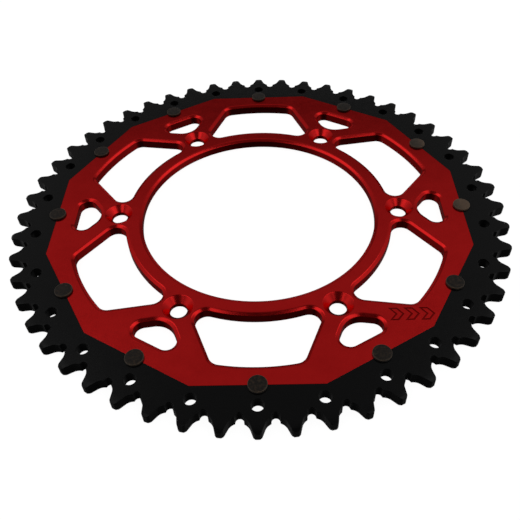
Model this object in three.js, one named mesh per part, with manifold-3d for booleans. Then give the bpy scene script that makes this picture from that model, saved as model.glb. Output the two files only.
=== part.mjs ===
// Two-piece rear sprocket of an off-road motorcycle, in millimetres, +Z up.
//
// An aluminium carrier bolts to the wheel hub and a hardened steel tooth ring
// takes the chain.  The two overlap in a half lap: the carrier's thin rear
// flange lies behind the ring's thin front flange, so both faces come out
// flush.  Seen from the front the joint is a dodecagon, and a rivet at the
// middle of each of its sides clamps the lap.
//
// The back face lies on z = 0 and the sprocket's axis is the Z axis.
import * as THREE from 'three';
import { mergeVertices } from 'three/addons/utils/BufferGeometryUtils.js';
import Module from 'manifold-3d';

const wasm = await Module();
wasm.setup();

// ---- driving dimensions ----------------------------------------------------

const THICKNESS = 5.8;
const GAP = 0.3; // clearance between neighbouring pieces

// Chain and teeth
const CHAIN_PITCH = 15.875;
const ROLLER_RADIUS = 5.08;
const ROLLER_PLAY = 0.05;
const TOOTH_COUNT = 52;
const TIP_RADIUS = 133.8;
const TIP_HALF_WIDTH = 1;
const TIP_CORNER = 0.85; // how far each tooth's tip corners are cut back
const TIP_BEVEL_WIDTH = 1.5; // slope on both faces of each tip, along the tooth
const TIP_BEVEL_DEPTH = 0.5; // and through its thickness
const SEAT_END_ANGLE = THREE.MathUtils.degToRad(65); // from the bottom of the seat to the straight flank
const SEAT_STEPS = 3;
const MUD_SLOT_HALF_WIDTH = 1.9; // slot at the bottom of each seat that lets mud out
const MUD_SLOT_BOTTOM_RADIUS = 124.2;
const MUD_SLOT_STEPS = 4;

// Round holes in the ring, one inboard of every second tooth
const RING_HOLE_COUNT = TOOTH_COUNT / 2;
const RING_HOLE_RADIUS = 2.9;
const RING_HOLE_CIRCLE_RADIUS = 120.6;
const FIRST_RING_HOLE_ANGLE = Math.PI / 2;

// Half lap between carrier and ring
const JOINT_SIDES = 12;
const JOINT_APOTHEM = 110.8; // middle of the gap between the two flanges
const LAP_HEIGHT = 2.9; // top of the carrier's rear flange
const LAP_RADIUS = 115.6; // outer radius of the carrier's rear flange

// Rivets, centred on the sides of the dodecagon
const RIVET_SHANK_RADIUS = 2.5;
const RIVET_HEAD_RADIUS = 4.45;
const RIVET_HEAD_HEIGHT = 1.4;
const RIVET_HEAD_EDGE = 0.4; // bevel round the top of the head
const RIVET_HEAD_LIFT = 0.1; // running gap under the head
const RIVET_TAIL_RADIUS = 3.7;
const RIVET_TAIL_DEPTH = 1.2; // the tail is set flush in a countersink at the back

// Carrier: hub bore, hub bolts and lightening windows
const BORE_RADIUS = 63.5;
const BOLT_COUNT = 6;
const BOLT_CIRCLE_RADIUS = 77;
const BOLT_HOLE_RADIUS = 4.25;
const COUNTERSINK_RADIUS = 7.5; // 90 degree countersink for the bolt's head
const BOLT_BACK_CHAMFER = 0.6; // at 45 degrees
const BORE_BACK_CHAMFER = 1; // at 45 degrees
const CHAMFER_WIDTH = 1.6; // of the bore and all windows, at the front
const CHAMFER_DEPTH = 1;

const WINDOW_COUNT = 6;
const WINDOW_INNER_RADIUS = 72.7;
const WINDOW_OUTER_RADIUS = 101;
const WINDOW_SIDE_DISTANCE = 55.7; // from the sprocket's axis to a window's straight side
const WINDOW_SIDE_TILT = THREE.MathUtils.degToRad(21.5); // between that side and the window's middle
const WINDOW_FILLET = 5.7;

const POCKET_NOSE_RADIUS = 84.4; // sharp inner corner of a small window, before rounding
const POCKET_OUTER_RADIUS = 100.6;
const POCKET_HALF_WIDTH = 20.5; // sharp outer corners, before rounding
const POCKET_NOSE_FILLET = 10;
const POCKET_OUTER_FILLET = 4.8;

// How finely the round stretches are cut
const ARC_SEGMENTS = 3; // three.js makes twice as many steps on each arc
const BORE_STEPS = 72;
const HOLE_STEPS = 14;
const RIVET_STEPS = 14;
const OVERSHOOT = 1; // how far a cutter runs past the face it cuts

// ---- materials -------------------------------------------------------------

const redAluminium = new THREE.MeshStandardMaterial({
  name: 'red_anodised_aluminium',
  color: 0x8c1014,
  roughness: 0.38,
  metalness: 0.9,
  flatShading: true,
});
const blackSteel = new THREE.MeshStandardMaterial({
  name: 'black_steel',
  color: 0x1c1c1e,
  roughness: 0.5,
  metalness: 0.8,
  flatShading: true,
});
const bronzedSteel = new THREE.MeshStandardMaterial({
  name: 'bronzed_steel',
  color: 0x3a332c,
  roughness: 0.45,
  metalness: 0.85,
  flatShading: true,
});

// ---- solids and booleans ---------------------------------------------------

function toSolid(geometry) {
  const bare = geometry.clone();
  bare.deleteAttribute('normal');
  bare.deleteAttribute('uv');
  const merged = mergeVertices(bare);
  const index = merged.index.array;
  const triangles = [];
  for (let i = 0; i < index.length; i += 3) {
    const [a, b, c] = [index[i], index[i + 1], index[i + 2]];
    const isFlat = a === b || b === c || c === a;
    if (!isFlat) triangles.push(a, b, c);
  }
  return new wasm.Manifold(new wasm.Mesh({
    numProp: 3,
    vertProperties: merged.attributes.position.array,
    triVerts: Uint32Array.from(triangles),
  }));
}

function toMesh(name, solid, material) {
  const { vertProperties, triVerts } = solid.getMesh();
  const geometry = new THREE.BufferGeometry();
  geometry.setAttribute('position', new THREE.BufferAttribute(vertProperties, 3));
  geometry.setIndex(new THREE.BufferAttribute(triVerts, 1));
  const mesh = new THREE.Mesh(geometry, material);
  mesh.name = name;
  return mesh;
}

// An outline raised from z = bottom to z = top.
function prism(shape, bottom, top) {
  const geometry = new THREE.ExtrudeGeometry(shape, {
    depth: top - bottom,
    bevelEnabled: false,
    curveSegments: ARC_SEGMENTS,
  });
  return toSolid(geometry.translate(0, 0, bottom));
}

// A hole right through the sprocket.
function throughCutter(shape) {
  return prism(shape, -OVERSHOOT, THICKNESS + OVERSHOOT);
}

// The sloping edge that surrounds a hole at the front face.
function chamferCutter(shape) {
  const geometry = new THREE.ExtrudeGeometry(shape, {
    depth: OVERSHOOT,
    bevelSize: CHAMFER_WIDTH,
    bevelThickness: CHAMFER_DEPTH,
    bevelSegments: 1,
    curveSegments: ARC_SEGMENTS,
  });
  return toSolid(geometry.translate(0, 0, THICKNESS));
}

// A round solid about the Z axis, from (radius, height) pairs that start and end on the axis.
function turned(profile, steps) {
  const points = profile.map(([radius, height]) => new THREE.Vector2(radius, height));
  return toSolid(new THREE.LatheGeometry(points, steps).rotateX(Math.PI / 2));
}

// ---- outlines --------------------------------------------------------------

function polar(radius, angle) {
  return new THREE.Vector2(radius * Math.cos(angle), radius * Math.sin(angle));
}

function circleShape(radius, steps, centre = new THREE.Vector2()) {
  const points = [];
  for (let i = 0; i < steps; i += 1) {
    points.push(polar(radius, (2 * Math.PI * i) / steps).add(centre));
  }
  return new THREE.Shape(points);
}

// A dodecagon with the middle of a side on the X axis.
function jointShape(apothem) {
  const cornerRadius = apothem / Math.cos(Math.PI / JOINT_SIDES);
  const points = [];
  for (let i = 0; i < JOINT_SIDES; i += 1) {
    points.push(polar(cornerRadius, (2 * Math.PI * (i + 0.5)) / JOINT_SIDES));
  }
  return new THREE.Shape(points);
}

// A closed outline through sharp corners, each rounded with its own fillet.
function roundedShape(corners) {
  const shape = new THREE.Shape();
  corners.forEach(({ point, fillet }, i) => {
    const before = corners[(i + corners.length - 1) % corners.length].point;
    const after = corners[(i + 1) % corners.length].point;
    const towardsBefore = before.clone().sub(point).normalize();
    const towardsAfter = after.clone().sub(point).normalize();
    const halfAngle = Math.acos(towardsBefore.dot(towardsAfter)) / 2;
    const bisector = towardsBefore.clone().add(towardsAfter).normalize();
    const centre = point.clone().addScaledVector(bisector, fillet / Math.sin(halfAngle));
    const tangentLength = fillet / Math.tan(halfAngle);
    const start = point.clone().addScaledVector(towardsBefore, tangentLength).sub(centre);
    const end = point.clone().addScaledVector(towardsAfter, tangentLength).sub(centre);
    shape.absarc(centre.x, centre.y, fillet, start.angle(), end.angle(), false);
  });
  return shape;
}

// Half of one tooth gap, from the bottom of the mud slot to the tooth's tip, as points
// (across, out) about the gap's own middle.
function halfGapPoints() {
  const pitchRadius = CHAIN_PITCH / 2 / Math.sin(Math.PI / TOOTH_COUNT);
  const seatRadius = ROLLER_RADIUS + ROLLER_PLAY;
  const points = [];

  const slotCentre = MUD_SLOT_BOTTOM_RADIUS + MUD_SLOT_HALF_WIDTH;
  for (let i = 0; i <= MUD_SLOT_STEPS / 2; i += 1) {
    const turn = (Math.PI * i) / MUD_SLOT_STEPS;
    points.push([MUD_SLOT_HALF_WIDTH * Math.sin(turn), slotCentre - MUD_SLOT_HALF_WIDTH * Math.cos(turn)]);
  }

  const lipAngle = Math.asin(MUD_SLOT_HALF_WIDTH / seatRadius);
  for (let i = 0; i <= SEAT_STEPS; i += 1) {
    const turn = lipAngle + ((SEAT_END_ANGLE - lipAngle) * i) / SEAT_STEPS;
    points.push([seatRadius * Math.sin(turn), pitchRadius - seatRadius * Math.cos(turn)]);
  }

  const halfPitch = Math.PI / TOOTH_COUNT;
  const tipCorners = [
    [TIP_RADIUS - TIP_CORNER, TIP_HALF_WIDTH + TIP_CORNER],
    [TIP_RADIUS, TIP_HALF_WIDTH],
  ];
  for (const [radius, halfWidth] of tipCorners) {
    const angle = halfPitch - Math.asin(halfWidth / radius);
    points.push([radius * Math.sin(angle), radius * Math.cos(angle)]);
  }
  return points;
}

// The toothed rim, with the middle of a tooth on the X axis.
function toothShape() {
  const right = halfGapPoints();
  const left = right.slice(1).reverse().map(([across, out]) => [-across, out]);
  const gap = [...right.reverse(), ...left.reverse()];
  const points = [];
  for (let i = 0; i < TOOTH_COUNT; i += 1) {
    const middle = (2 * Math.PI * (i + 0.5)) / TOOTH_COUNT;
    const outward = polar(1, middle);
    const sideways = polar(1, middle - Math.PI / 2);
    for (const [across, out] of gap) {
      points.push(outward.clone().multiplyScalar(out).addScaledVector(sideways, across));
    }
  }
  return new THREE.Shape(points);
}

// A large window about the X axis: two arcs about the sprocket's axis and two
// straight sides, with a fillet that touches an arc and a side at each corner.
function windowShape() {
  const sideNormal = Math.PI / 2 - WINDOW_SIDE_TILT;
  const filletOffset = WINDOW_SIDE_DISTANCE - WINDOW_FILLET;
  const outerCentreRadius = WINDOW_OUTER_RADIUS - WINDOW_FILLET;
  const innerCentreRadius = WINDOW_INNER_RADIUS + WINDOW_FILLET;
  const outerAngle = sideNormal - Math.acos(filletOffset / outerCentreRadius);
  const innerAngle = sideNormal - Math.acos(filletOffset / innerCentreRadius);
  const outerCentre = polar(outerCentreRadius, outerAngle);
  const innerCentre = polar(innerCentreRadius, innerAngle);

  const shape = new THREE.Shape();
  shape.absarc(0, 0, WINDOW_OUTER_RADIUS, -outerAngle, outerAngle, false);
  shape.absarc(outerCentre.x, outerCentre.y, WINDOW_FILLET, outerAngle, sideNormal, false);
  shape.absarc(innerCentre.x, innerCentre.y, WINDOW_FILLET, sideNormal, innerAngle + Math.PI, false);
  shape.absarc(0, 0, WINDOW_INNER_RADIUS, innerAngle, -innerAngle, true);
  shape.absarc(innerCentre.x, -innerCentre.y, WINDOW_FILLET, Math.PI - innerAngle, -sideNormal, false);
  shape.absarc(outerCentre.x, -outerCentre.y, WINDOW_FILLET, -sideNormal, -outerAngle, false);
  return shape;
}

// A small window about the X axis, between a hub bolt and the rim.
function pocketShape() {
  return roundedShape([
    { point: new THREE.Vector2(POCKET_NOSE_RADIUS, 0), fillet: POCKET_NOSE_FILLET },
    { point: new THREE.Vector2(POCKET_OUTER_RADIUS, -POCKET_HALF_WIDTH), fillet: POCKET_OUTER_FILLET },
    { point: new THREE.Vector2(POCKET_OUTER_RADIUS, POCKET_HALF_WIDTH), fillet: POCKET_OUTER_FILLET },
  ]);
}

// ---- pieces ----------------------------------------------------------------

// Copies of a cutter about the Z axis, the first one turned to the given angle.
function aroundAxis(cutter, count, firstAngle = 0) {
  const degrees = THREE.MathUtils.radToDeg(firstAngle);
  let all = cutter.rotate([0, 0, degrees]);
  for (let i = 1; i < count; i += 1) {
    all = all.add(cutter.rotate([0, 0, degrees + (360 * i) / count]));
  }
  return all;
}

// The hub bore, chamfered at both ends.
function boreCutter() {
  const chamferSlope = CHAMFER_WIDTH / CHAMFER_DEPTH;
  return turned([
    [0, -OVERSHOOT],
    [BORE_RADIUS + BORE_BACK_CHAMFER + OVERSHOOT, -OVERSHOOT],
    [BORE_RADIUS, BORE_BACK_CHAMFER],
    [BORE_RADIUS, THICKNESS - CHAMFER_DEPTH],
    [BORE_RADIUS + CHAMFER_WIDTH + chamferSlope * OVERSHOOT, THICKNESS + OVERSHOOT],
    [0, THICKNESS + OVERSHOOT],
  ], BORE_STEPS);
}

// The hole for one hub bolt, countersunk at the front for its head.
function boltCutter() {
  const coneDepth = COUNTERSINK_RADIUS - BOLT_HOLE_RADIUS;
  return turned([
    [0, -OVERSHOOT],
    [BOLT_HOLE_RADIUS + BOLT_BACK_CHAMFER + OVERSHOOT, -OVERSHOOT],
    [BOLT_HOLE_RADIUS, BOLT_BACK_CHAMFER],
    [BOLT_HOLE_RADIUS, THICKNESS - coneDepth],
    [COUNTERSINK_RADIUS + OVERSHOOT, THICKNESS + OVERSHOOT],
    [0, THICKNESS + OVERSHOOT],
  ], HOLE_STEPS).translate([BOLT_CIRCLE_RADIUS, 0, 0]);
}

// The hole for one rivet, countersunk at the back for its tail.
function rivetCutter() {
  const radius = RIVET_SHANK_RADIUS + GAP;
  const tailRadius = RIVET_TAIL_RADIUS + GAP;
  const slope = (tailRadius - radius) / RIVET_TAIL_DEPTH;
  return turned([
    [0, -OVERSHOOT],
    [tailRadius + slope * OVERSHOOT, -OVERSHOOT],
    [radius, RIVET_TAIL_DEPTH],
    [radius, THICKNESS + OVERSHOOT],
    [0, THICKNESS + OVERSHOOT],
  ], RIVET_STEPS).translate([JOINT_APOTHEM, 0, 0]);
}

function carrier() {
  const blank = prism(circleShape(LAP_RADIUS, BORE_STEPS), 0, THICKNESS);

  const aroundFlange = circleShape(LAP_RADIUS + OVERSHOOT, BORE_STEPS);
  aroundFlange.holes.push(jointShape(JOINT_APOTHEM - GAP / 2));
  const lapCutter = prism(aroundFlange, LAP_HEIGHT, THICKNESS + OVERSHOOT);

  const window = throughCutter(windowShape()).add(chamferCutter(windowShape()));
  const pocket = throughCutter(pocketShape()).add(chamferCutter(pocketShape()));
  const solid = blank
    .subtract(lapCutter)
    .subtract(boreCutter())
    .subtract(aroundAxis(window, WINDOW_COUNT, Math.PI / WINDOW_COUNT))
    .subtract(aroundAxis(pocket, BOLT_COUNT))
    .subtract(aroundAxis(boltCutter(), BOLT_COUNT))
    .subtract(aroundAxis(rivetCutter(), JOINT_SIDES));
  return toMesh('carrier', solid, redAluminium);
}

// A disc whose rim slopes to both faces, so that it trims only the sides of the tooth tips.
function tipTrimmer() {
  const slope = TIP_BEVEL_WIDTH / TIP_BEVEL_DEPTH;
  const rimDepth = TIP_BEVEL_DEPTH + OVERSHOOT / slope;
  const rimRadius = TIP_RADIUS + OVERSHOOT;
  const faceRadius = TIP_RADIUS - TIP_BEVEL_WIDTH - slope * OVERSHOOT;
  return turned([
    [0, -OVERSHOOT],
    [faceRadius, -OVERSHOOT],
    [rimRadius, rimDepth],
    [rimRadius, THICKNESS - rimDepth],
    [faceRadius, THICKNESS + OVERSHOOT],
    [0, THICKNESS + OVERSHOOT],
  ], 2 * TOOTH_COUNT);
}

function toothRing() {
  const outline = toothShape();
  outline.holes.push(jointShape(JOINT_APOTHEM + GAP / 2));
  for (let i = 0; i < RING_HOLE_COUNT; i += 1) {
    const angle = FIRST_RING_HOLE_ANGLE + (2 * Math.PI * i) / RING_HOLE_COUNT;
    outline.holes.push(circleShape(RING_HOLE_RADIUS, HOLE_STEPS, polar(RING_HOLE_CIRCLE_RADIUS, angle)));
  }
  const lapCutter = prism(circleShape(LAP_RADIUS + GAP, BORE_STEPS), -OVERSHOOT, LAP_HEIGHT + GAP);
  const solid = prism(outline, 0, THICKNESS)
    .intersect(tipTrimmer())
    .subtract(lapCutter)
    .subtract(aroundAxis(rivetCutter(), JOINT_SIDES));
  return toMesh('tooth_ring', solid, blackSteel);
}

function rivet(name) {
  const headBottom = THICKNESS + RIVET_HEAD_LIFT;
  const headTop = THICKNESS + RIVET_HEAD_HEIGHT;
  const solid = turned([
    [0, 0],
    [RIVET_TAIL_RADIUS, 0],
    [RIVET_SHANK_RADIUS, RIVET_TAIL_DEPTH],
    [RIVET_SHANK_RADIUS, headBottom],
    [RIVET_HEAD_RADIUS, headBottom],
    [RIVET_HEAD_RADIUS, headTop - RIVET_HEAD_EDGE],
    [RIVET_HEAD_RADIUS - RIVET_HEAD_EDGE, headTop],
    [0, headTop],
  ], RIVET_STEPS);
  return toMesh(name, solid, bronzedSteel);
}

function rivets() {
  const group = new THREE.Group();
  for (let i = 0; i < JOINT_SIDES; i += 1) {
    const mesh = rivet(`rivet_${String(i + 1).padStart(2, '0')}`);
    const place = polar(JOINT_APOTHEM, (2 * Math.PI * i) / JOINT_SIDES);
    mesh.position.set(place.x, place.y, 0);
    group.add(mesh);
  }
  return group;
}

const sprocket = new THREE.Group();
sprocket.add(carrier(), toothRing(), rivets());

export default sprocket;
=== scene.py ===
"""The finished look of a riveted rear sprocket: fine meshes, materials, light and camera.

The outlines repeat the CAD model's dimensions, in millimetres, with the small edge
roundings that the CAD leaves out.  Meshes are scaled to metres when they are made.
The back face lies on z = 0 and the sprocket's axis is the Z axis.
"""

import math

import bmesh
import bpy
from mathutils import Matrix, Vector
from mathutils.geometry import delaunay_2d_cdt


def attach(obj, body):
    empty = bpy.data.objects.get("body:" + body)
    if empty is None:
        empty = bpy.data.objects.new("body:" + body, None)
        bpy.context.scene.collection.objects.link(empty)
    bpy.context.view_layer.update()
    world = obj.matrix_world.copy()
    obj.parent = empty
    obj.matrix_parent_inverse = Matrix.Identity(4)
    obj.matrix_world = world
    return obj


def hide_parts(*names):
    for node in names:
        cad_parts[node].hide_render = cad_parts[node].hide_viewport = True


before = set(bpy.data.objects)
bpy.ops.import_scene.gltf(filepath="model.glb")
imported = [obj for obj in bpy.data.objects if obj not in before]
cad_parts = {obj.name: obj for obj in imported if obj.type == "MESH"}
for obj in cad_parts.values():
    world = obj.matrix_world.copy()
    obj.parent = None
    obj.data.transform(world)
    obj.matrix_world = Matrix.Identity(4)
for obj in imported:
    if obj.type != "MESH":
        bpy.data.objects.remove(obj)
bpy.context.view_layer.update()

MM = 0.001

# ---- dimensions, in millimetres -------------------------------------------------

THICKNESS = 5.8
EDGE = 0.22  # rounding of the edges that have no chamfer
EDGE_STEPS = 4

CHAIN_PITCH = 15.875
SEAT_RADIUS = 5.13
TOOTH_COUNT = 52
TIP_RADIUS = 133.8
TIP_HALF_WIDTH = 1.0
TIP_CORNER = 0.85  # how far each tooth's tip corners are cut back
TIP_BEVEL_WIDTH = 1.5  # slope on both faces of each tip, along the tooth
TIP_BEVEL_DEPTH = 0.5  # and through its thickness
TIP_BEVEL_RADIUS = TIP_RADIUS - TIP_BEVEL_WIDTH
SEAT_END_ANGLE = math.radians(65)  # from the bottom of the seat to the straight flank
SEAT_STEPS = 9
MUD_SLOT_HALF_WIDTH = 1.9  # slot at the bottom of each seat
MUD_SLOT_BOTTOM_RADIUS = 124.2
MUD_SLOT_STEPS = 6
LIP_ROUNDING = 0.3  # where a mud slot opens into its seat
TIP_ROUNDING = 0.5
SHARP_CORNER_STEPS = 3  # on each small rounding of the teeth and of the joint

RING_HOLE_COUNT = 26
RING_HOLE_RADIUS = 2.9
RING_HOLE_CIRCLE_RADIUS = 120.6
RING_HOLE_STEPS = 32

JOINT_SIDES = 12
JOINT_APOTHEM = 110.8
JOINT_GAP = 0.06
JOINT_EDGE = 0.08  # rounding of the two edges that meet at the joint
JOINT_CORNER_ROUNDING = 0.5
LAP_HEIGHT = 2.9  # top of the carrier's rear flange, which lies behind the ring
LAP_RADIUS = 115.6
LAP_CLEARANCE = 0.3

BORE_RADIUS = 63.5
BIG_CIRCLE_STEPS = 180  # of the bore and of the lap
BOLT_COUNT = 6
BOLT_CIRCLE_RADIUS = 77.0
BOLT_HOLE_RADIUS = 4.25
BOLT_HOLE_STEPS = 48
COUNTERSINK_RADIUS = 7.5
COUNTERSINK_ROUNDINGS = (0.6, 0.6)
BOLT_BACK_CHAMFER = 0.6
CHAMFER = (1.6, 1.0)  # of bore, windows and pockets: width on the face and depth
BORE_BACK_CHAMFER = 1.0
CHAMFER_ROUNDINGS = (1.6, 0.6)  # radii where a chamfer runs into the face and the wall
FACE_RUN = 2  # length of face beside a wall's profile, which only gives its direction

WINDOW_COUNT = 6
WINDOW_INNER_RADIUS = 72.7
WINDOW_OUTER_RADIUS = 101.0
WINDOW_SIDE_DISTANCE = 55.7
WINDOW_SIDE_TILT = math.radians(21.5)
WINDOW_FILLET = 5.7
WINDOW_FILLET_STEPS = 12
WINDOW_OUTER_STEPS = 30
WINDOW_INNER_STEPS = 24

POCKET_NOSE_RADIUS = 84.4
POCKET_OUTER_RADIUS = 100.6
POCKET_HALF_WIDTH = 20.5
POCKET_NOSE_FILLET = 10.0
POCKET_OUTER_FILLET = 4.8
POCKET_FILLET_STEPS = 16

RIVET_SHANK_RADIUS = 2.5
RIVET_HOLE_RADIUS = 2.6
RIVET_HEAD_RADIUS = 4.45
RIVET_HEAD_HEIGHT = 1.4
RIVET_HEAD_CROWN = 0.12  # how much the head rises from its rim to its middle
RIVET_SHOULDER_RADIUS = RIVET_HEAD_RADIUS * 0.6  # where the crown starts to fall away
RIVET_SHOULDER_DROP = RIVET_HEAD_CROWN * 0.3
RIVET_SHOULDER_ROUNDING = 3
RIVET_HEAD_EDGE = 0.45
RIVET_HEAD_LOWER_EDGE = 0.1
RIVET_HEAD_LIFT = 0.03
RIVET_TAIL_RADIUS = 3.7
RIVET_TAIL_DEPTH = 1.2
RIVET_TAIL_EDGE = 0.08
RIVET_STEPS = 48
OVERSHOOT = 1  # how far a cutter runs past the face it cuts

SMOOTH_ANGLE = math.radians(32)  # edges that turn more than this are shaded sharp
FLAT_FACE_WEIGHT = 90  # how much large faces lead the shading at their edges

MARK_MIDDLE = (72.3, -73.7)  # of a row of engraved chevrons in outline
MARK_COUNT = 3
MARK_PITCH = 7.2
MARK_HEIGHT = 7.4
MARK_WIDTH = 4.2
MARK_POINT = 3.0
MARK_STROKE = 0.8
MARK_SLOPE = 0.1
MARK_DEPTH = 0.2

CAMERA_POSITION = (0.008746, -0.257906, 0.243095)  # in metres
CAMERA_RIGHT = (0.99948355, 0.00046795, -0.03213128)
CAMERA_UP = (0.0215256, 0.73266312, 0.68025099)
CAMERA_LENS = 44.02
CAMERA_SENSOR_WIDTH = 36


# ---- outlines -------------------------------------------------------------------
# An outline is a closed, anticlockwise list of (x, y) points.


def polar(radius, angle):
    return radius * math.cos(angle), radius * math.sin(angle)


def arc(centre, radius, start, end, steps):
    """Points along an arc, both ends included."""
    points = []
    for i in range(steps + 1):
        x, y = polar(radius, start + (end - start) * i / steps)
        points.append((centre[0] + x, centre[1] + y))
    return points


def circle(radius, steps, centre=(0, 0)):
    return arc(centre, radius, 0, 2 * math.pi * (1 - 1 / steps), steps - 1)


def fillet(previous, corner, following, steps):
    """Points that round one (x, y, rounding) corner between its two neighbours."""
    radius = corner[2]
    corner = Vector(corner[:2])
    before = (Vector(previous[:2]) - corner).normalized()
    after = (Vector(following[:2]) - corner).normalized()
    half_angle = math.acos(max(-1, min(1, before.dot(after)))) / 2
    centre = corner + (before + after).normalized() * radius / math.sin(half_angle)
    tangent = radius / math.tan(half_angle)
    start = corner + before * tangent - centre
    end = corner + after * tangent - centre
    first = math.atan2(start.y, start.x)
    sweep = math.remainder(math.atan2(end.y, end.x) - first, 2 * math.pi)
    return arc(centre, radius, first, first + sweep, steps)


def rounded(corners, steps):
    """An outline through sharp (x, y, rounding) corners; a rounding of 0 keeps the point."""
    points = []
    for i, corner in enumerate(corners):
        if corner[2] == 0:
            points.append(corner[:2])
        else:
            points += fillet(corners[i - 1], corner, corners[(i + 1) % len(corners)], steps)
    return points


def turned_copy(points, angle):
    c, s = math.cos(angle), math.sin(angle)
    return [(c * x - s * y, s * x + c * y) for x, y in points]


def joint_outline(apothem):
    corner_radius = apothem / math.cos(math.pi / JOINT_SIDES)
    corners = []
    for i in range(JOINT_SIDES):
        x, y = polar(corner_radius, 2 * math.pi * (i + 0.5) / JOINT_SIDES)
        corners.append((x, y, JOINT_CORNER_ROUNDING))
    return rounded(corners, SHARP_CORNER_STEPS)


def window_outline():
    """A large window about the X axis: two arcs, two straight sides and four fillets."""
    side_normal = math.pi / 2 - WINDOW_SIDE_TILT
    offset = WINDOW_SIDE_DISTANCE - WINDOW_FILLET
    outer_radius = WINDOW_OUTER_RADIUS - WINDOW_FILLET
    inner_radius = WINDOW_INNER_RADIUS + WINDOW_FILLET
    outer = side_normal - math.acos(offset / outer_radius)
    inner = side_normal - math.acos(offset / inner_radius)
    outer_centre = polar(outer_radius, outer)
    inner_centre = polar(inner_radius, inner)
    steps = WINDOW_FILLET_STEPS
    upper = arc(outer_centre, WINDOW_FILLET, outer, side_normal, steps)
    upper += arc(inner_centre, WINDOW_FILLET, side_normal, inner + math.pi, steps)
    lower = [(x, -y) for x, y in reversed(upper)]
    outer_arc = arc((0, 0), WINDOW_OUTER_RADIUS, -outer, outer, WINDOW_OUTER_STEPS)[1:-1]
    inner_arc = arc((0, 0), WINDOW_INNER_RADIUS, inner, -inner, WINDOW_INNER_STEPS)[1:-1]
    return upper + inner_arc + lower + outer_arc


def pocket_outline():
    """A small window about the X axis."""
    return rounded(
        [
            (POCKET_NOSE_RADIUS, 0, POCKET_NOSE_FILLET),
            (POCKET_OUTER_RADIUS, -POCKET_HALF_WIDTH, POCKET_OUTER_FILLET),
            (POCKET_OUTER_RADIUS, POCKET_HALF_WIDTH, POCKET_OUTER_FILLET),
        ],
        POCKET_FILLET_STEPS,
    )


def half_gap():
    """Half of one tooth gap, from the mud slot's bottom to the tooth's tip, as
    (across, out, rounding) about the gap's own middle."""
    pitch_radius = CHAIN_PITCH / 2 / math.sin(math.pi / TOOTH_COUNT)
    slot_centre = MUD_SLOT_BOTTOM_RADIUS + MUD_SLOT_HALF_WIDTH
    points = []
    for i in range(MUD_SLOT_STEPS + 1):
        turn = math.pi / 2 * i / MUD_SLOT_STEPS
        across = MUD_SLOT_HALF_WIDTH * math.sin(turn)
        points.append((across, slot_centre - MUD_SLOT_HALF_WIDTH * math.cos(turn), 0))
    lip_angle = math.asin(MUD_SLOT_HALF_WIDTH / SEAT_RADIUS)
    for i in range(SEAT_STEPS + 1):
        turn = lip_angle + (SEAT_END_ANGLE - lip_angle) * i / SEAT_STEPS
        across = SEAT_RADIUS * math.sin(turn)
        rounding = LIP_ROUNDING if i == 0 else 0
        points.append((across, pitch_radius - SEAT_RADIUS * math.cos(turn), rounding))
    for radius, half_width in (
        (TIP_RADIUS - TIP_CORNER, TIP_HALF_WIDTH + TIP_CORNER),
        (TIP_RADIUS, TIP_HALF_WIDTH),
    ):
        angle = math.pi / TOOTH_COUNT - math.asin(half_width / radius)
        points.append((radius * math.sin(angle), radius * math.cos(angle), TIP_ROUNDING))
    return points


def flank_crossing(half, radius):
    """Splits the straight flank of a half gap where it crosses the given radius."""
    for i, (a, b) in enumerate(zip(half, half[1:])):
        if math.hypot(*a[:2]) < radius <= math.hypot(*b[:2]):
            low = 0.0
            high = 1.0
            for _ in range(40):  # enough halvings to reach the limit of rounding
                middle = (low + high) / 2
                x = a[0] + (b[0] - a[0]) * middle
                y = a[1] + (b[1] - a[1]) * middle
                if math.hypot(x, y) < radius:
                    low = middle
                else:
                    high = middle
            return half[: i + 1] + [(x, y, 0)] + half[i + 1 :]
    raise ValueError("the flank doesn't cross that radius")


def rim_outline():
    """The toothed rim with the middle of a tooth on the X axis, and for each tooth the
    positions in the outline of its two bevel corners."""
    half = flank_crossing(half_gap(), TIP_BEVEL_RADIUS)
    left = [(-across, out, rounding) for across, out, rounding in half[1:]]
    gap = list(reversed(half)) + left  # from the tooth before the gap to the one after
    corners = []
    for i in range(TOOTH_COUNT):
        middle = 2 * math.pi * (i + 0.5) / TOOTH_COUNT
        ox, oy = polar(1, middle)
        for across, out, rounding in gap:
            corners.append((ox * out + oy * across, oy * out - ox * across, rounding))
    points = rounded(corners, SHARP_CORNER_STEPS)
    radii = [math.hypot(x, y) for x, y in points]
    on_bevel = [i for i, r in enumerate(radii) if math.isclose(r, TIP_BEVEL_RADIUS, abs_tol=1e-6)]
    # The outline starts on a tooth's far side, so its bevel corners pair up from the second on.
    pairs = list(zip(on_bevel[1::2], on_bevel[2::2] + on_bevel[:1]))
    return points, pairs


# ---- wall profiles --------------------------------------------------------------
# A profile runs from the front face to the back face as (inset, z): inset is how far
# the wall has drawn back into the material from the outline.


def rounded_profile(corners):
    """Rounds every inner corner of an open (inset, z, rounding) line; the ends stay."""
    profile = [corners[0][:2]]
    for previous, corner, following in zip(corners, corners[1:], corners[2:]):
        profile += fillet(previous, corner, following, EDGE_STEPS)
    return profile + [corners[-1][:2]]


def plain_profile(bottom, top):
    """A straight wall with both edges rounded, its ends on the two faces."""
    run = 2 * EDGE
    corners = [(run, top, 0), (0, top, EDGE), (0, bottom, EDGE), (run, bottom, 0)]
    return rounded_profile(corners)[1:-1]


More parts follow.
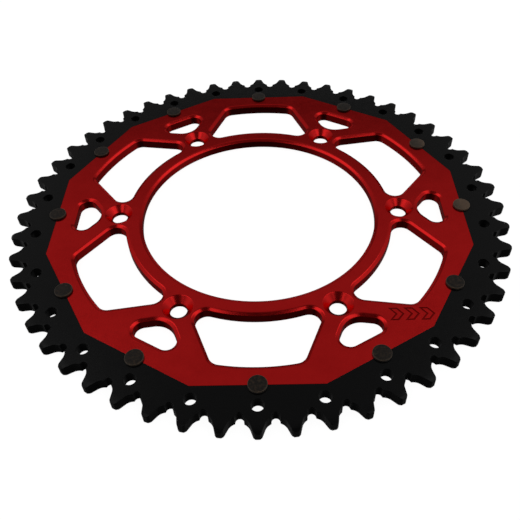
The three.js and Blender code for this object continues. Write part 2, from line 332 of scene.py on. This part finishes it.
def chamfered_profile(front_chamfer, back_chamfer=0.0, roundings=CHAMFER_ROUNDINGS):
    """A wall with a chamfer at the front, and a small chamfer or a rounding at the back."""
    width, depth = front_chamfer
    at_face, at_wall = roundings
    corners = [
        (width + FACE_RUN, THICKNESS, 0),
        (width, THICKNESS, at_face),
        (0, THICKNESS - depth, at_wall),
    ]
    if back_chamfer:
        corners += [(0, back_chamfer, EDGE), (back_chamfer, 0, EDGE)]
    else:
        corners += [(0, 0, EDGE)]
    corners += [(back_chamfer + FACE_RUN, 0, 0)]
    return rounded_profile(corners)[1:-1]


def joint_profile(bottom):
    """A wall with only its front edge rounded, and very little."""
    corners = [(2 * EDGE, THICKNESS, 0), (0, THICKNESS, JOINT_EDGE), (0, bottom, 0)]
    return rounded_profile(corners)[1:]


# ---- meshes ---------------------------------------------------------------------


class Solid:
    """Collects the rings, walls and flat caps of one closed mesh, in millimetres."""

    def __init__(self):
        self.points = []
        self.faces = []
        self.creases = set()
        self.engraved = set()

    def ring(self, outline, z):
        first = len(self.points)
        self.points += [(x, y, z) for x, y in outline]
        return list(range(first, len(self.points)))

    def band(self, upper, lower):
        for i in range(len(upper)):
            j = (i + 1) % len(upper)
            self.faces.append((upper[i], upper[j], lower[j], lower[i]))

    def wall(self, outline, profile, is_hole):
        """A wall round an outline. Gives its rings; the caps join the first and the last."""
        rings = []
        for inset, z in profile:
            rings.append(self.ring(inset_outline(outline, -inset if is_hole else inset), z))
        for upper, lower in zip(rings, rings[1:]):
            self.band(upper, lower)
        return rings

    def cap(self, rings):
        """Fills the flat region between rings, the first being the outermost."""
        index = [i for ring in rings for i in ring]
        owner = [k for k, ring in enumerate(rings) for _ in ring]
        flat = [Vector(self.points[i][:2]) for i in index]
        edges = []
        start = 0
        for ring in rings:
            count = len(ring)
            edges += [(start + i, start + (i + 1) % count) for i in range(count)]
            start += count
        inside_only = 1
        merge_distance = 1e-7
        found = delaunay_2d_cdt(flat, edges, [], inside_only, merge_distance)
        vertices, _, triangles, origins = found[:4]
        if len(vertices) != len(flat):
            raise ValueError("two outlines of one face cross or touch")
        original = [ids[0] for ids in origins]
        for face in triangles:
            corners = [original[i] for i in face]
            owners = {owner[i] for i in corners}
            if len(owners) == 1 and owners != {0}:
                middle = sum((flat[i] for i in corners), Vector((0, 0))) / 3
                hole = [self.points[i] for i in rings[owners.pop()]]
                if is_inside(middle, hole):
                    continue
            self.faces.append(tuple(index[i] for i in corners))

    def crease(self, a, b):
        self.creases.add(frozenset((a, b)))

    def build(self, name):
        mesh = bpy.data.meshes.new(name)
        mesh.from_pydata([Vector(p) * MM for p in self.points], [], self.faces)
        for edge in mesh.edges:
            edge.use_edge_sharp = frozenset(edge.vertices) in self.creases
        engraved = mesh.attributes.new("engraved", "FLOAT", "FACE")
        for i in self.engraved:
            engraved.data[i].value = 1
        bm = bmesh.new()
        bm.from_mesh(mesh)
        bmesh.ops.recalc_face_normals(bm, faces=bm.faces)
        bm.to_mesh(mesh)
        bm.free()
        piece = bpy.data.objects.new(name, mesh)
        bpy.context.scene.collection.objects.link(piece)
        return piece


def is_inside(point, outline):
    """True if a point lies in an outline, by counting the edges that a ray along X crosses."""
    inside = False
    for (ax, ay, *_), (bx, by, *_) in zip(outline, outline[1:] + outline[:1]):
        if (ay > point.y) != (by > point.y):
            if point.x < ax + (bx - ax) * (point.y - ay) / (by - ay):
                inside = not inside
    return inside


def inset_outline(outline, distance):
    """An anticlockwise outline drawn inwards by a distance, or outwards if it is negative."""
    if distance == 0:
        return outline
    moved = []
    count = len(outline)
    for i in range(count):
        point = Vector(outline[i])
        before = (point - Vector(outline[i - 1])).normalized()
        after = (Vector(outline[(i + 1) % count]) - point).normalized()
        normal = Vector((-before.y - after.y, before.x + after.x)).normalized()
        stretch = 1 / max(0.5, normal.dot(Vector((-before.y, before.x))))
        moved.append(tuple(point + normal * distance * stretch))
    return moved


def lathe(name, profile, centre, steps):
    """A solid of revolution from (radius, z) points that start and end on the axis."""
    solid = Solid()
    rings = [solid.ring(circle(radius, steps, centre), z) for radius, z in profile[1:-1]]
    for upper, lower in zip(rings, rings[1:]):
        solid.band(upper, lower)
    for ring, (_, z) in ((rings[0], profile[0]), (rings[-1], profile[-1])):
        middle = solid.ring([centre], z)[0]
        for i in range(steps):
            solid.faces.append((ring[i], ring[(i + 1) % steps], middle))
    return solid.build(name)


def cut(piece, cutter):
    modifier = piece.modifiers.new("cut", "BOOLEAN")
    modifier.operation = "DIFFERENCE"
    modifier.solver = "EXACT"
    modifier.object = cutter
    bpy.context.view_layer.update()
    graph = bpy.context.evaluated_depsgraph_get()
    result = bpy.data.meshes.new_from_object(piece.evaluated_get(graph))
    piece.modifiers.remove(modifier)
    old = piece.data
    piece.data = result
    bpy.data.meshes.remove(old)
    result.name = piece.name


def shade(piece):
    """Smooth shading across roundings, flat across flats and creases."""
    mesh = piece.data
    mesh.polygons.foreach_set("use_smooth", [True] * len(mesh.polygons))
    creased = [edge.index for edge in mesh.edges if edge.use_edge_sharp]
    mesh.set_sharp_from_angle(angle=SMOOTH_ANGLE)
    for i in creased:
        mesh.edges[i].use_edge_sharp = True
    weighted = piece.modifiers.new("weighted", "WEIGHTED_NORMAL")
    weighted.keep_sharp = True
    weighted.weight = FLAT_FACE_WEIGHT


# ---- pieces ---------------------------------------------------------------------


def around_axis(outline, count, first_angle=0.0):
    return [turned_copy(outline, first_angle + 2 * math.pi * i / count) for i in range(count)]


def engrave_mark(solid):
    """Cuts the outlines of a row of chevrons into the front face. Gives their outer rings."""
    x, y = MARK_MIDDLE
    x -= ((MARK_COUNT - 1) * MARK_PITCH + MARK_WIDTH + MARK_POINT) / 2
    half = MARK_HEIGHT / 2
    bottom = THICKNESS - MARK_DEPTH
    wall = [(0, THICKNESS), (-MARK_SLOPE, bottom)]
    rings = []
    for i in range(MARK_COUNT):
        left = x + i * MARK_PITCH
        right = left + MARK_WIDTH
        chevron = [
            (left, y - half),
            (right, y - half),
            (right + MARK_POINT, y),
            (right, y + half),
            (left, y + half),
            (left + MARK_POINT, y),
        ]
        first_face = len(solid.faces)
        outer = solid.wall(chevron, wall, True)
        inner = solid.wall(inset_outline(chevron, MARK_STROKE), wall, False)
        solid.cap([outer[1], inner[1]])
        solid.engraved.update(range(first_face, len(solid.faces)))
        solid.cap([inner[0]])
        rings.append(outer[0])
    return rings


def make_carrier():
    solid = Solid()
    front = []
    back = []
    bore = circle(BORE_RADIUS, BIG_CIRCLE_STEPS)
    window_wall = chamfered_profile(CHAMFER)
    countersink = COUNTERSINK_RADIUS - BOLT_HOLE_RADIUS
    bolt_wall = chamfered_profile(
        (countersink, countersink), BOLT_BACK_CHAMFER, COUNTERSINK_ROUNDINGS
    )
    bolt_hole = circle(BOLT_HOLE_RADIUS, BOLT_HOLE_STEPS, (BOLT_CIRCLE_RADIUS, 0))
    groups = (
        ([bore], chamfered_profile(CHAMFER, BORE_BACK_CHAMFER)),
        (around_axis(window_outline(), WINDOW_COUNT, math.pi / WINDOW_COUNT), window_wall),
        (around_axis(pocket_outline(), BOLT_COUNT), window_wall),
        (around_axis(bolt_hole, BOLT_COUNT), bolt_wall),
    )
    for outlines, profile in groups:
        for outline in outlines:
            rings = solid.wall(outline, profile, True)
            front.append(rings[0])
            back.append(rings[-1])
    joint_line = joint_outline(JOINT_APOTHEM - JOINT_GAP / 2)
    joint = solid.wall(joint_line, joint_profile(LAP_HEIGHT), False)
    flange_line = circle(LAP_RADIUS, BIG_CIRCLE_STEPS)
    flange = solid.wall(flange_line, plain_profile(0, LAP_HEIGHT), False)
    solid.cap([joint[0]] + front + engrave_mark(solid))
    solid.cap([flange[0], joint[-1]])
    solid.cap([flange[-1]] + back)
    return solid.build("carrier_fine")


def make_tooth_ring():
    solid = Solid()
    outline, tips = rim_outline()
    rim = solid.wall(outline, plain_profile(0, THICKNESS), False)
    front = []
    back = []
    first_centre = polar(RING_HOLE_CIRCLE_RADIUS, math.pi / 2)
    hole = circle(RING_HOLE_RADIUS, RING_HOLE_STEPS, first_centre)
    for hole_outline in around_axis(hole, RING_HOLE_COUNT):
        rings = solid.wall(hole_outline, plain_profile(0, THICKNESS), True)
        front.append(rings[0])
        back.append(rings[-1])
    flange_bottom = LAP_HEIGHT + LAP_CLEARANCE
    joint_line = joint_outline(JOINT_APOTHEM + JOINT_GAP / 2)
    joint = solid.wall(joint_line, joint_profile(flange_bottom), True)
    recess_line = circle(LAP_RADIUS + LAP_CLEARANCE, BIG_CIRCLE_STEPS)
    recess_wall = rounded_profile([(0, flange_bottom, 0), (0, 0, EDGE), (2 * EDGE, 0, 0)])[:-1]
    recess = solid.wall(recess_line, recess_wall, True)
    solid.cap([recess[0], joint[-1]])
    cap_toothed_face(solid, rim[0], tips, front + [joint[0]])
    cap_toothed_face(solid, rim[-1], tips, back + [recess[-1]])
    slope_tips(solid, rim, tips)
    return solid.build("tooth_ring_fine")


def cap_toothed_face(solid, ring, tips, holes):
    """Fills one face of the tooth ring, each tip with a face of its own past a crease."""
    count = len(ring)
    without_tips = set(range(count))
    for first, last in tips:
        between = [(first + i) % count for i in range(1, (last - first) % count)]
        without_tips -= set(between)
        solid.faces.append(tuple(ring[i] for i in [first, *between, last]))
        solid.crease(ring[first], ring[last])
    solid.cap([[ring[i] for i in sorted(without_tips)]] + holes)


def slope_tips(solid, rim, tips):
    """Brings both faces of each tooth together towards its tip."""
    middle = THICKNESS / 2
    for first, last in tips:
        for ring in rim:
            count = len(ring)
            for i in range(1, (last - first) % count):
                k = ring[(first + i) % count]
                x, y, z = solid.points[k]
                past = max(0, math.hypot(x, y) - TIP_BEVEL_RADIUS)
                drop = past * TIP_BEVEL_DEPTH / TIP_BEVEL_WIDTH
                solid.points[k] = (x, y, middle + (z - middle) * (1 - drop / middle))


def rivet_hole_profile():
    """Half a section of the hole for a rivet, countersunk at the back."""
    slope = (RIVET_TAIL_RADIUS - RIVET_SHANK_RADIUS) / RIVET_TAIL_DEPTH
    return [
        (0, THICKNESS + OVERSHOOT),
        (RIVET_HOLE_RADIUS, THICKNESS + OVERSHOOT),
        (RIVET_HOLE_RADIUS, RIVET_TAIL_DEPTH),
        (RIVET_HOLE_RADIUS + slope * (RIVET_TAIL_DEPTH + OVERSHOOT), -OVERSHOOT),
        (0, -OVERSHOOT),
    ]


def rivet_profile():
    """Half a section of a rivet, from the top of its head to the end of its tail."""
    top = THICKNESS + RIVET_HEAD_HEIGHT
    bottom = THICKNESS + RIVET_HEAD_LIFT
    rim = rounded_profile(
        [
            (0, top, 0),
            (RIVET_SHOULDER_RADIUS, top - RIVET_SHOULDER_DROP, RIVET_SHOULDER_ROUNDING),
            (RIVET_HEAD_RADIUS, top - RIVET_HEAD_CROWN, RIVET_HEAD_EDGE),
            (RIVET_HEAD_RADIUS, bottom, RIVET_HEAD_LOWER_EDGE),
            (RIVET_SHANK_RADIUS, bottom, 0),
        ]
    )
    return rim + [
        (RIVET_SHANK_RADIUS, RIVET_TAIL_DEPTH),
        (RIVET_TAIL_RADIUS - RIVET_TAIL_EDGE, RIVET_TAIL_EDGE),
        (RIVET_TAIL_RADIUS - 2 * RIVET_TAIL_EDGE, 0),
        (0, 0),
    ]


def rivet_centres():
    """The middle of each side of the joint."""
    return [polar(JOINT_APOTHEM, 2 * math.pi * i / JOINT_SIDES) for i in range(JOINT_SIDES)]


def make_rivets():
    """Gives each rivet with the name of the CAD node that it stands for."""
    rivets = []
    for i, centre in enumerate(rivet_centres()):
        name = f"rivet_{i + 1:02d}"
        rivets.append((lathe(name + "_fine", rivet_profile(), centre, RIVET_STEPS), name))
    return rivets


def cut_rivet_holes(pieces):
    cutters = []
    for i, centre in enumerate(rivet_centres()):
        cutters.append(lathe(f"cutter_{i}", rivet_hole_profile(), centre, RIVET_STEPS))
    for piece in pieces:
        for cutter in cutters:
            cut(piece, cutter)
    for cutter in cutters:
        mesh = cutter.data
        bpy.data.objects.remove(cutter)
        bpy.data.meshes.remove(mesh)


# ---- materials ------------------------------------------------------------------


class Nodes:
    """A short way to add linked shader nodes to one material."""

    def __init__(self, name):
        self.material = bpy.data.materials.new(name)
        self.material.use_nodes = True
        self.tree = self.material.node_tree
        self.tree.nodes.clear()
        self.shader = self.add("ShaderNodeBsdfPrincipled")
        output = self.add("ShaderNodeOutputMaterial")
        self.link(self.shader, "BSDF", output, "Surface")
        self.place = self.add("ShaderNodeTexCoord")

    def add(self, kind, **settings):
        node = self.tree.nodes.new(kind)
        for key, value in settings.items():
            setattr(node, key, value)
        return node

    def link(self, a, out, b, into):
        self.tree.links.new(a.outputs[out], b.inputs[into])

    def set(self, **values):
        for key, value in values.items():
            self.shader.inputs[key.replace("_", " ")].default_value = value

    def noise(self, scale, detail, roughness=0.6):
        """Noise in the object's own place, scale in cycles per metre."""
        node = self.add("ShaderNodeTexNoise")
        node.inputs["Scale"].default_value = scale
        node.inputs["Detail"].default_value = detail
        node.inputs["Roughness"].default_value = roughness
        self.link(self.place, "Object", node, "Vector")
        return node

    def ramp(self, source, out, stops):
        """Colours along a value, from (position, colour) pairs."""
        node = self.add("ShaderNodeValToRGB")
        elements = node.color_ramp.elements
        while len(elements) < len(stops):
            elements.new(0.5)
        for element, (position, colour) in zip(elements, stops):
            element.position = position
            element.color = (*colour, 1)
        self.link(source, out, node, "Fac")
        return node

    def combine(self, operation, a, out_a, b, out_b):
        node = self.add("ShaderNodeVectorMath", operation=operation)
        self.link(a, out_a, node, 0)
        self.link(b, out_b, node, 1)
        return node

    def vary_roughness(self, scale, low, high):
        """Cloudy roughness: most of the noise lies between 0.3 and 0.7."""
        node = self.add("ShaderNodeMapRange")
        node.inputs["From Min"].default_value = 0.3
        node.inputs["From Max"].default_value = 0.7
        node.inputs["To Min"].default_value = low
        node.inputs["To Max"].default_value = high
        self.link(self.noise(scale, 3), "Fac", node, "Value")
        self.link(node, "Result", self.shader, "Roughness")

    def add_grain(self, scale, detail, height):
        """Fine unevenness of the surface, its height in metres."""
        node = self.add("ShaderNodeBump")
        node.inputs["Distance"].default_value = height
        node.inputs["Strength"].default_value = 1
        self.link(self.noise(scale, detail), "Fac", node, "Height")
        self.link(node, "Normal", self.shader, "Normal")


def red_anodised():
    n = Nodes("red_anodised")
    n.set(Metallic=1.0, Specular_Tint=(1, 0.6, 0.6, 1))
    stops = [(0.3, (0.56, 0.013, 0.013)), (0.7, (0.64, 0.016, 0.0155))]
    colour = n.ramp(n.noise(90, 4), "Fac", stops)
    # Painted shade: the engraved grooves are darkened to 0.4 of the red, for the shade that falls
    # in them.
    engraved = n.add("ShaderNodeAttribute", attribute_name="engraved")
    painted_groove_shade = n.ramp(engraved, "Fac", [(0, (1, 1, 1)), (1, (0.4, 0.4, 0.4))])
    with_painted_groove_shade = n.combine("MULTIPLY", colour, "Color", painted_groove_shade, "Color")
    n.link(with_painted_groove_shade, "Vector", n.shader, "Base Color")
    n.vary_roughness(260, 0.18, 0.24)
    n.add_grain(5200, 2, 0.000012)
    return n.material


def black_steel():
    n = Nodes("black_steel")
    n.set(Metallic=0.0, IOR=1.22, Sheen_Weight=0.08, Sheen_Roughness=0.45)
    stops = [(0.3, (0.0002, 0.0002, 0.0003)), (0.7, (0.0005, 0.0005, 0.0006))]
    colour = n.ramp(n.noise(140, 4), "Fac", stops)
    n.link(colour, "Color", n.shader, "Base Color")
    n.vary_roughness(420, 0.2, 0.3)
    n.add_grain(4200, 2, 0.000008)
    return n.material


def bronzed_steel():
    """Mottled brown steel with lighter rims, partly rubbed wear and partly a painted highlight,
    and painted light that makes it lighter and browner on one side.
    """
    n = Nodes("bronzed_steel")
    n.set(Metallic=0.0, IOR=1.2, Sheen_Weight=0.1, Sheen_Roughness=0.45)
    mottling = [
        (0.35, (0.004, 0.002, 0.001)),
        (0.5, (0.01, 0.006, 0.003)),
        (0.68, (0.034, 0.02, 0.01)),
    ]
    colour = n.ramp(n.noise(700, 4, 0.65), "Fac", mottling)
    # Lighter where the surface slopes: partly rubbed wear, partly a painted highlight for the
    # floor's reflection on the rounded head edges.
    slant = n.add("ShaderNodeSeparateXYZ")
    n.link(n.place, "Normal", slant, "Vector")
    none = (0, 0, 0)
    lit_and_worn_rim = (0.05, 0.038, 0.027)
    rim_highlight_and_wear = n.ramp(slant, "Z", [(0, none), (0.2, lit_and_worn_rim), (0.9, lit_and_worn_rim), (0.97, none)])
    with_rims = n.combine("ADD", colour, "Color", rim_highlight_and_wear, "Color")
    # Painted light: the rivets on one side of the sprocket are made lighter and browner.
    with_painted_side_light = n.combine("ADD", with_rims, "Vector", painted_side_light(n), "Color")
    n.link(with_painted_side_light, "Vector", n.shader, "Base Color")
    n.vary_roughness(1300, 0.3, 0.45)
    n.add_grain(5200, 3, 0.00002)
    return n.material


def painted_side_light(n):
    """Painted light: a lighter, browner colour that grows towards the rivets on one side of the
    sprocket.
    """
    x, y = polar(1 / (JOINT_APOTHEM * MM), math.radians(10))
    sideways = n.add("ShaderNodeVectorMath", operation="DOT_PRODUCT")
    n.link(n.place, "Object", sideways, 0)
    sideways.inputs[1].default_value = (x, y, 0)
    stops = [
        (0.84, (0.007, 0.007, 0.007)),
        (0.94, (0.042, 0.034, 0.027)),
        (0.985, (0.1, 0.066, 0.045)),
    ]
    return n.ramp(sideways, "Value", stops)


def floor_material():
    n = Nodes("pale_floor")
    n.set(
        Base_Color=(0.15, 0.15, 0.15, 1),
        Roughness=0.9,
        Emission_Color=(1, 1, 1, 1),
        Emission_Strength=0.95,
    )
    return n.material


# ---- stage ----------------------------------------------------------------------


def make_floor():
    """A glowing pale floor just under the sprocket, which neither mirrors nor lights it."""
    just_below = -0.3 * MM
    bpy.ops.mesh.primitive_plane_add(size=8, location=(0, 0, just_below))
    floor = bpy.context.object
    floor.name = "floor"
    floor.data.materials.append(floor_material())
    floor.visible_glossy = False
    floor.visible_diffuse = False
    return floor


def make_softbox(name, position, size, turn, power):
    """A rectangular light that faces the sprocket; its size is along and across."""
    light = bpy.data.lights.new(name, "AREA")
    light.shape = "RECTANGLE"
    light.size, light.size_y = size
    light.energy = power
    box = bpy.data.objects.new(name, light)
    box.location = position
    box.rotation_euler = (-Vector(position)).to_track_quat("-Z", "Y").to_euler()
    box.rotation_euler.rotate_axis("Z", turn)
    bpy.context.scene.collection.objects.link(box)


def make_lights():
    """Two long softboxes above the sprocket, one on each side, closer together in front."""
    size = (1.65, 0.48)
    turn = math.radians(12.5)
    power = 2.35
    make_softbox("softbox_left", (-0.63, -0.16, 1.02), size, -turn, power)
    make_softbox("softbox_right", (0.63, -0.16, 1.02), size, turn, power)


def make_world():
    """Grey studio surroundings: a pale wall behind the part, dimmer ones at its sides."""
    world = bpy.data.worlds.new("studio")
    bpy.context.scene.world = world
    world.use_nodes = True
    tree = world.node_tree
    tree.nodes.clear()

    def add(kind, **settings):
        node = tree.nodes.new(kind)
        for key, value in settings.items():
            setattr(node, key, value)
        return node

    def ramp(source, stops):
        """A grey that follows one direction component, from (component, grey) pairs."""
        spread = add("ShaderNodeMapRange")
        spread.inputs["From Min"].default_value = -1
        tree.links.new(source, spread.inputs["Value"])
        node = add("ShaderNodeValToRGB")
        elements = node.color_ramp.elements
        while len(elements) < len(stops):
            elements.new(0.5)
        for element, (component, grey) in zip(elements, stops):
            element.position = (component + 1) / 2
            element.color = (grey, grey, grey, 1)
        tree.links.new(spread.outputs["Result"], node.inputs["Fac"])
        return node.outputs["Color"]

    def combine(operation, a, b):
        node = add("ShaderNodeVectorMath", operation=operation)
        tree.links.new(a, node.inputs[0])
        tree.links.new(b, node.inputs[1])
        return node.outputs["Vector"]

    place = add("ShaderNodeTexCoord")
    split = add("ShaderNodeSeparateXYZ")
    tree.links.new(place.outputs["Generated"], split.inputs["Vector"])
    to_back = ramp(
        split.outputs["Y"],
        [
            (-0.78, 0.04),
            (-0.68, 0.14),
            (-0.58, 0.16),
            (-0.48, 0.03),
            (-0.38, 0.05),
            (-0.2, 0.13),
            (0.2, 0.16),
            (0.45, 0.36),
            (0.72, 0.36),
            (0.82, 0.11),
            (0.87, 0.09),
            (0.91, 0.24),
            (1, 0.5),
        ],
    )
    to_sides = ramp(
        split.outputs["X"],
        [(-0.9, 0.5), (-0.72, 0.45), (-0.58, 0), (0.58, 0), (0.72, 0.5), (0.9, 0.55)],
    )
    sides_fade = ramp(
        split.outputs["Y"], [(-0.7, 0.6), (-0.3, 1), (0, 1), (0.2, 0.7), (0.35, 0.3), (0.6, 0)]
    )
    above_horizon = ramp(split.outputs["Z"], [(-0.7, 0.25), (-0.3, 0.35), (0.1, 1)])
    walls = combine("ADD", to_back, combine("MULTIPLY", to_sides, sides_fade))
    total = combine("MULTIPLY", walls, above_horizon)
    background = add("ShaderNodeBackground")
    output = add("ShaderNodeOutputWorld")
    tree.links.new(total, background.inputs["Color"])
    tree.links.new(background.outputs["Background"], output.inputs["Surface"])


def make_camera():
    data = bpy.data.cameras.new("camera")
    data.lens = CAMERA_LENS
    data.sensor_width = CAMERA_SENSOR_WIDTH
    data.clip_start = 0.01
    camera = bpy.data.objects.new("camera", data)
    right = Vector(CAMERA_RIGHT)
    up = Vector(CAMERA_UP)
    turn = Matrix((right, up, right.cross(up))).transposed().to_4x4()
    camera.matrix_world = Matrix.Translation(CAMERA_POSITION) @ turn
    bpy.context.scene.collection.objects.link(camera)
    bpy.context.scene.camera = camera


# ---- scene ----------------------------------------------------------------------

carrier = make_carrier()
ring = make_tooth_ring()
cut_rivet_holes([carrier, ring])
rivets = make_rivets()

bronze = bronzed_steel()
pieces = [
    (carrier, "carrier", red_anodised(), "red_anodised_aluminium"),
    (ring, "tooth_ring", black_steel(), "black_steel"),
]
pieces += [(rivet, node, bronze, "bronzed_steel") for rivet, node in rivets]
for piece, node, material, slot in pieces:
    piece.data.materials.clear()
    piece.data.materials.append(material)
    shade(piece)
    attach(piece, "root")
    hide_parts(node)

make_floor()
make_lights()
make_world()
make_camera()
bpy.context.scene.view_settings.view_transform = "Standard"
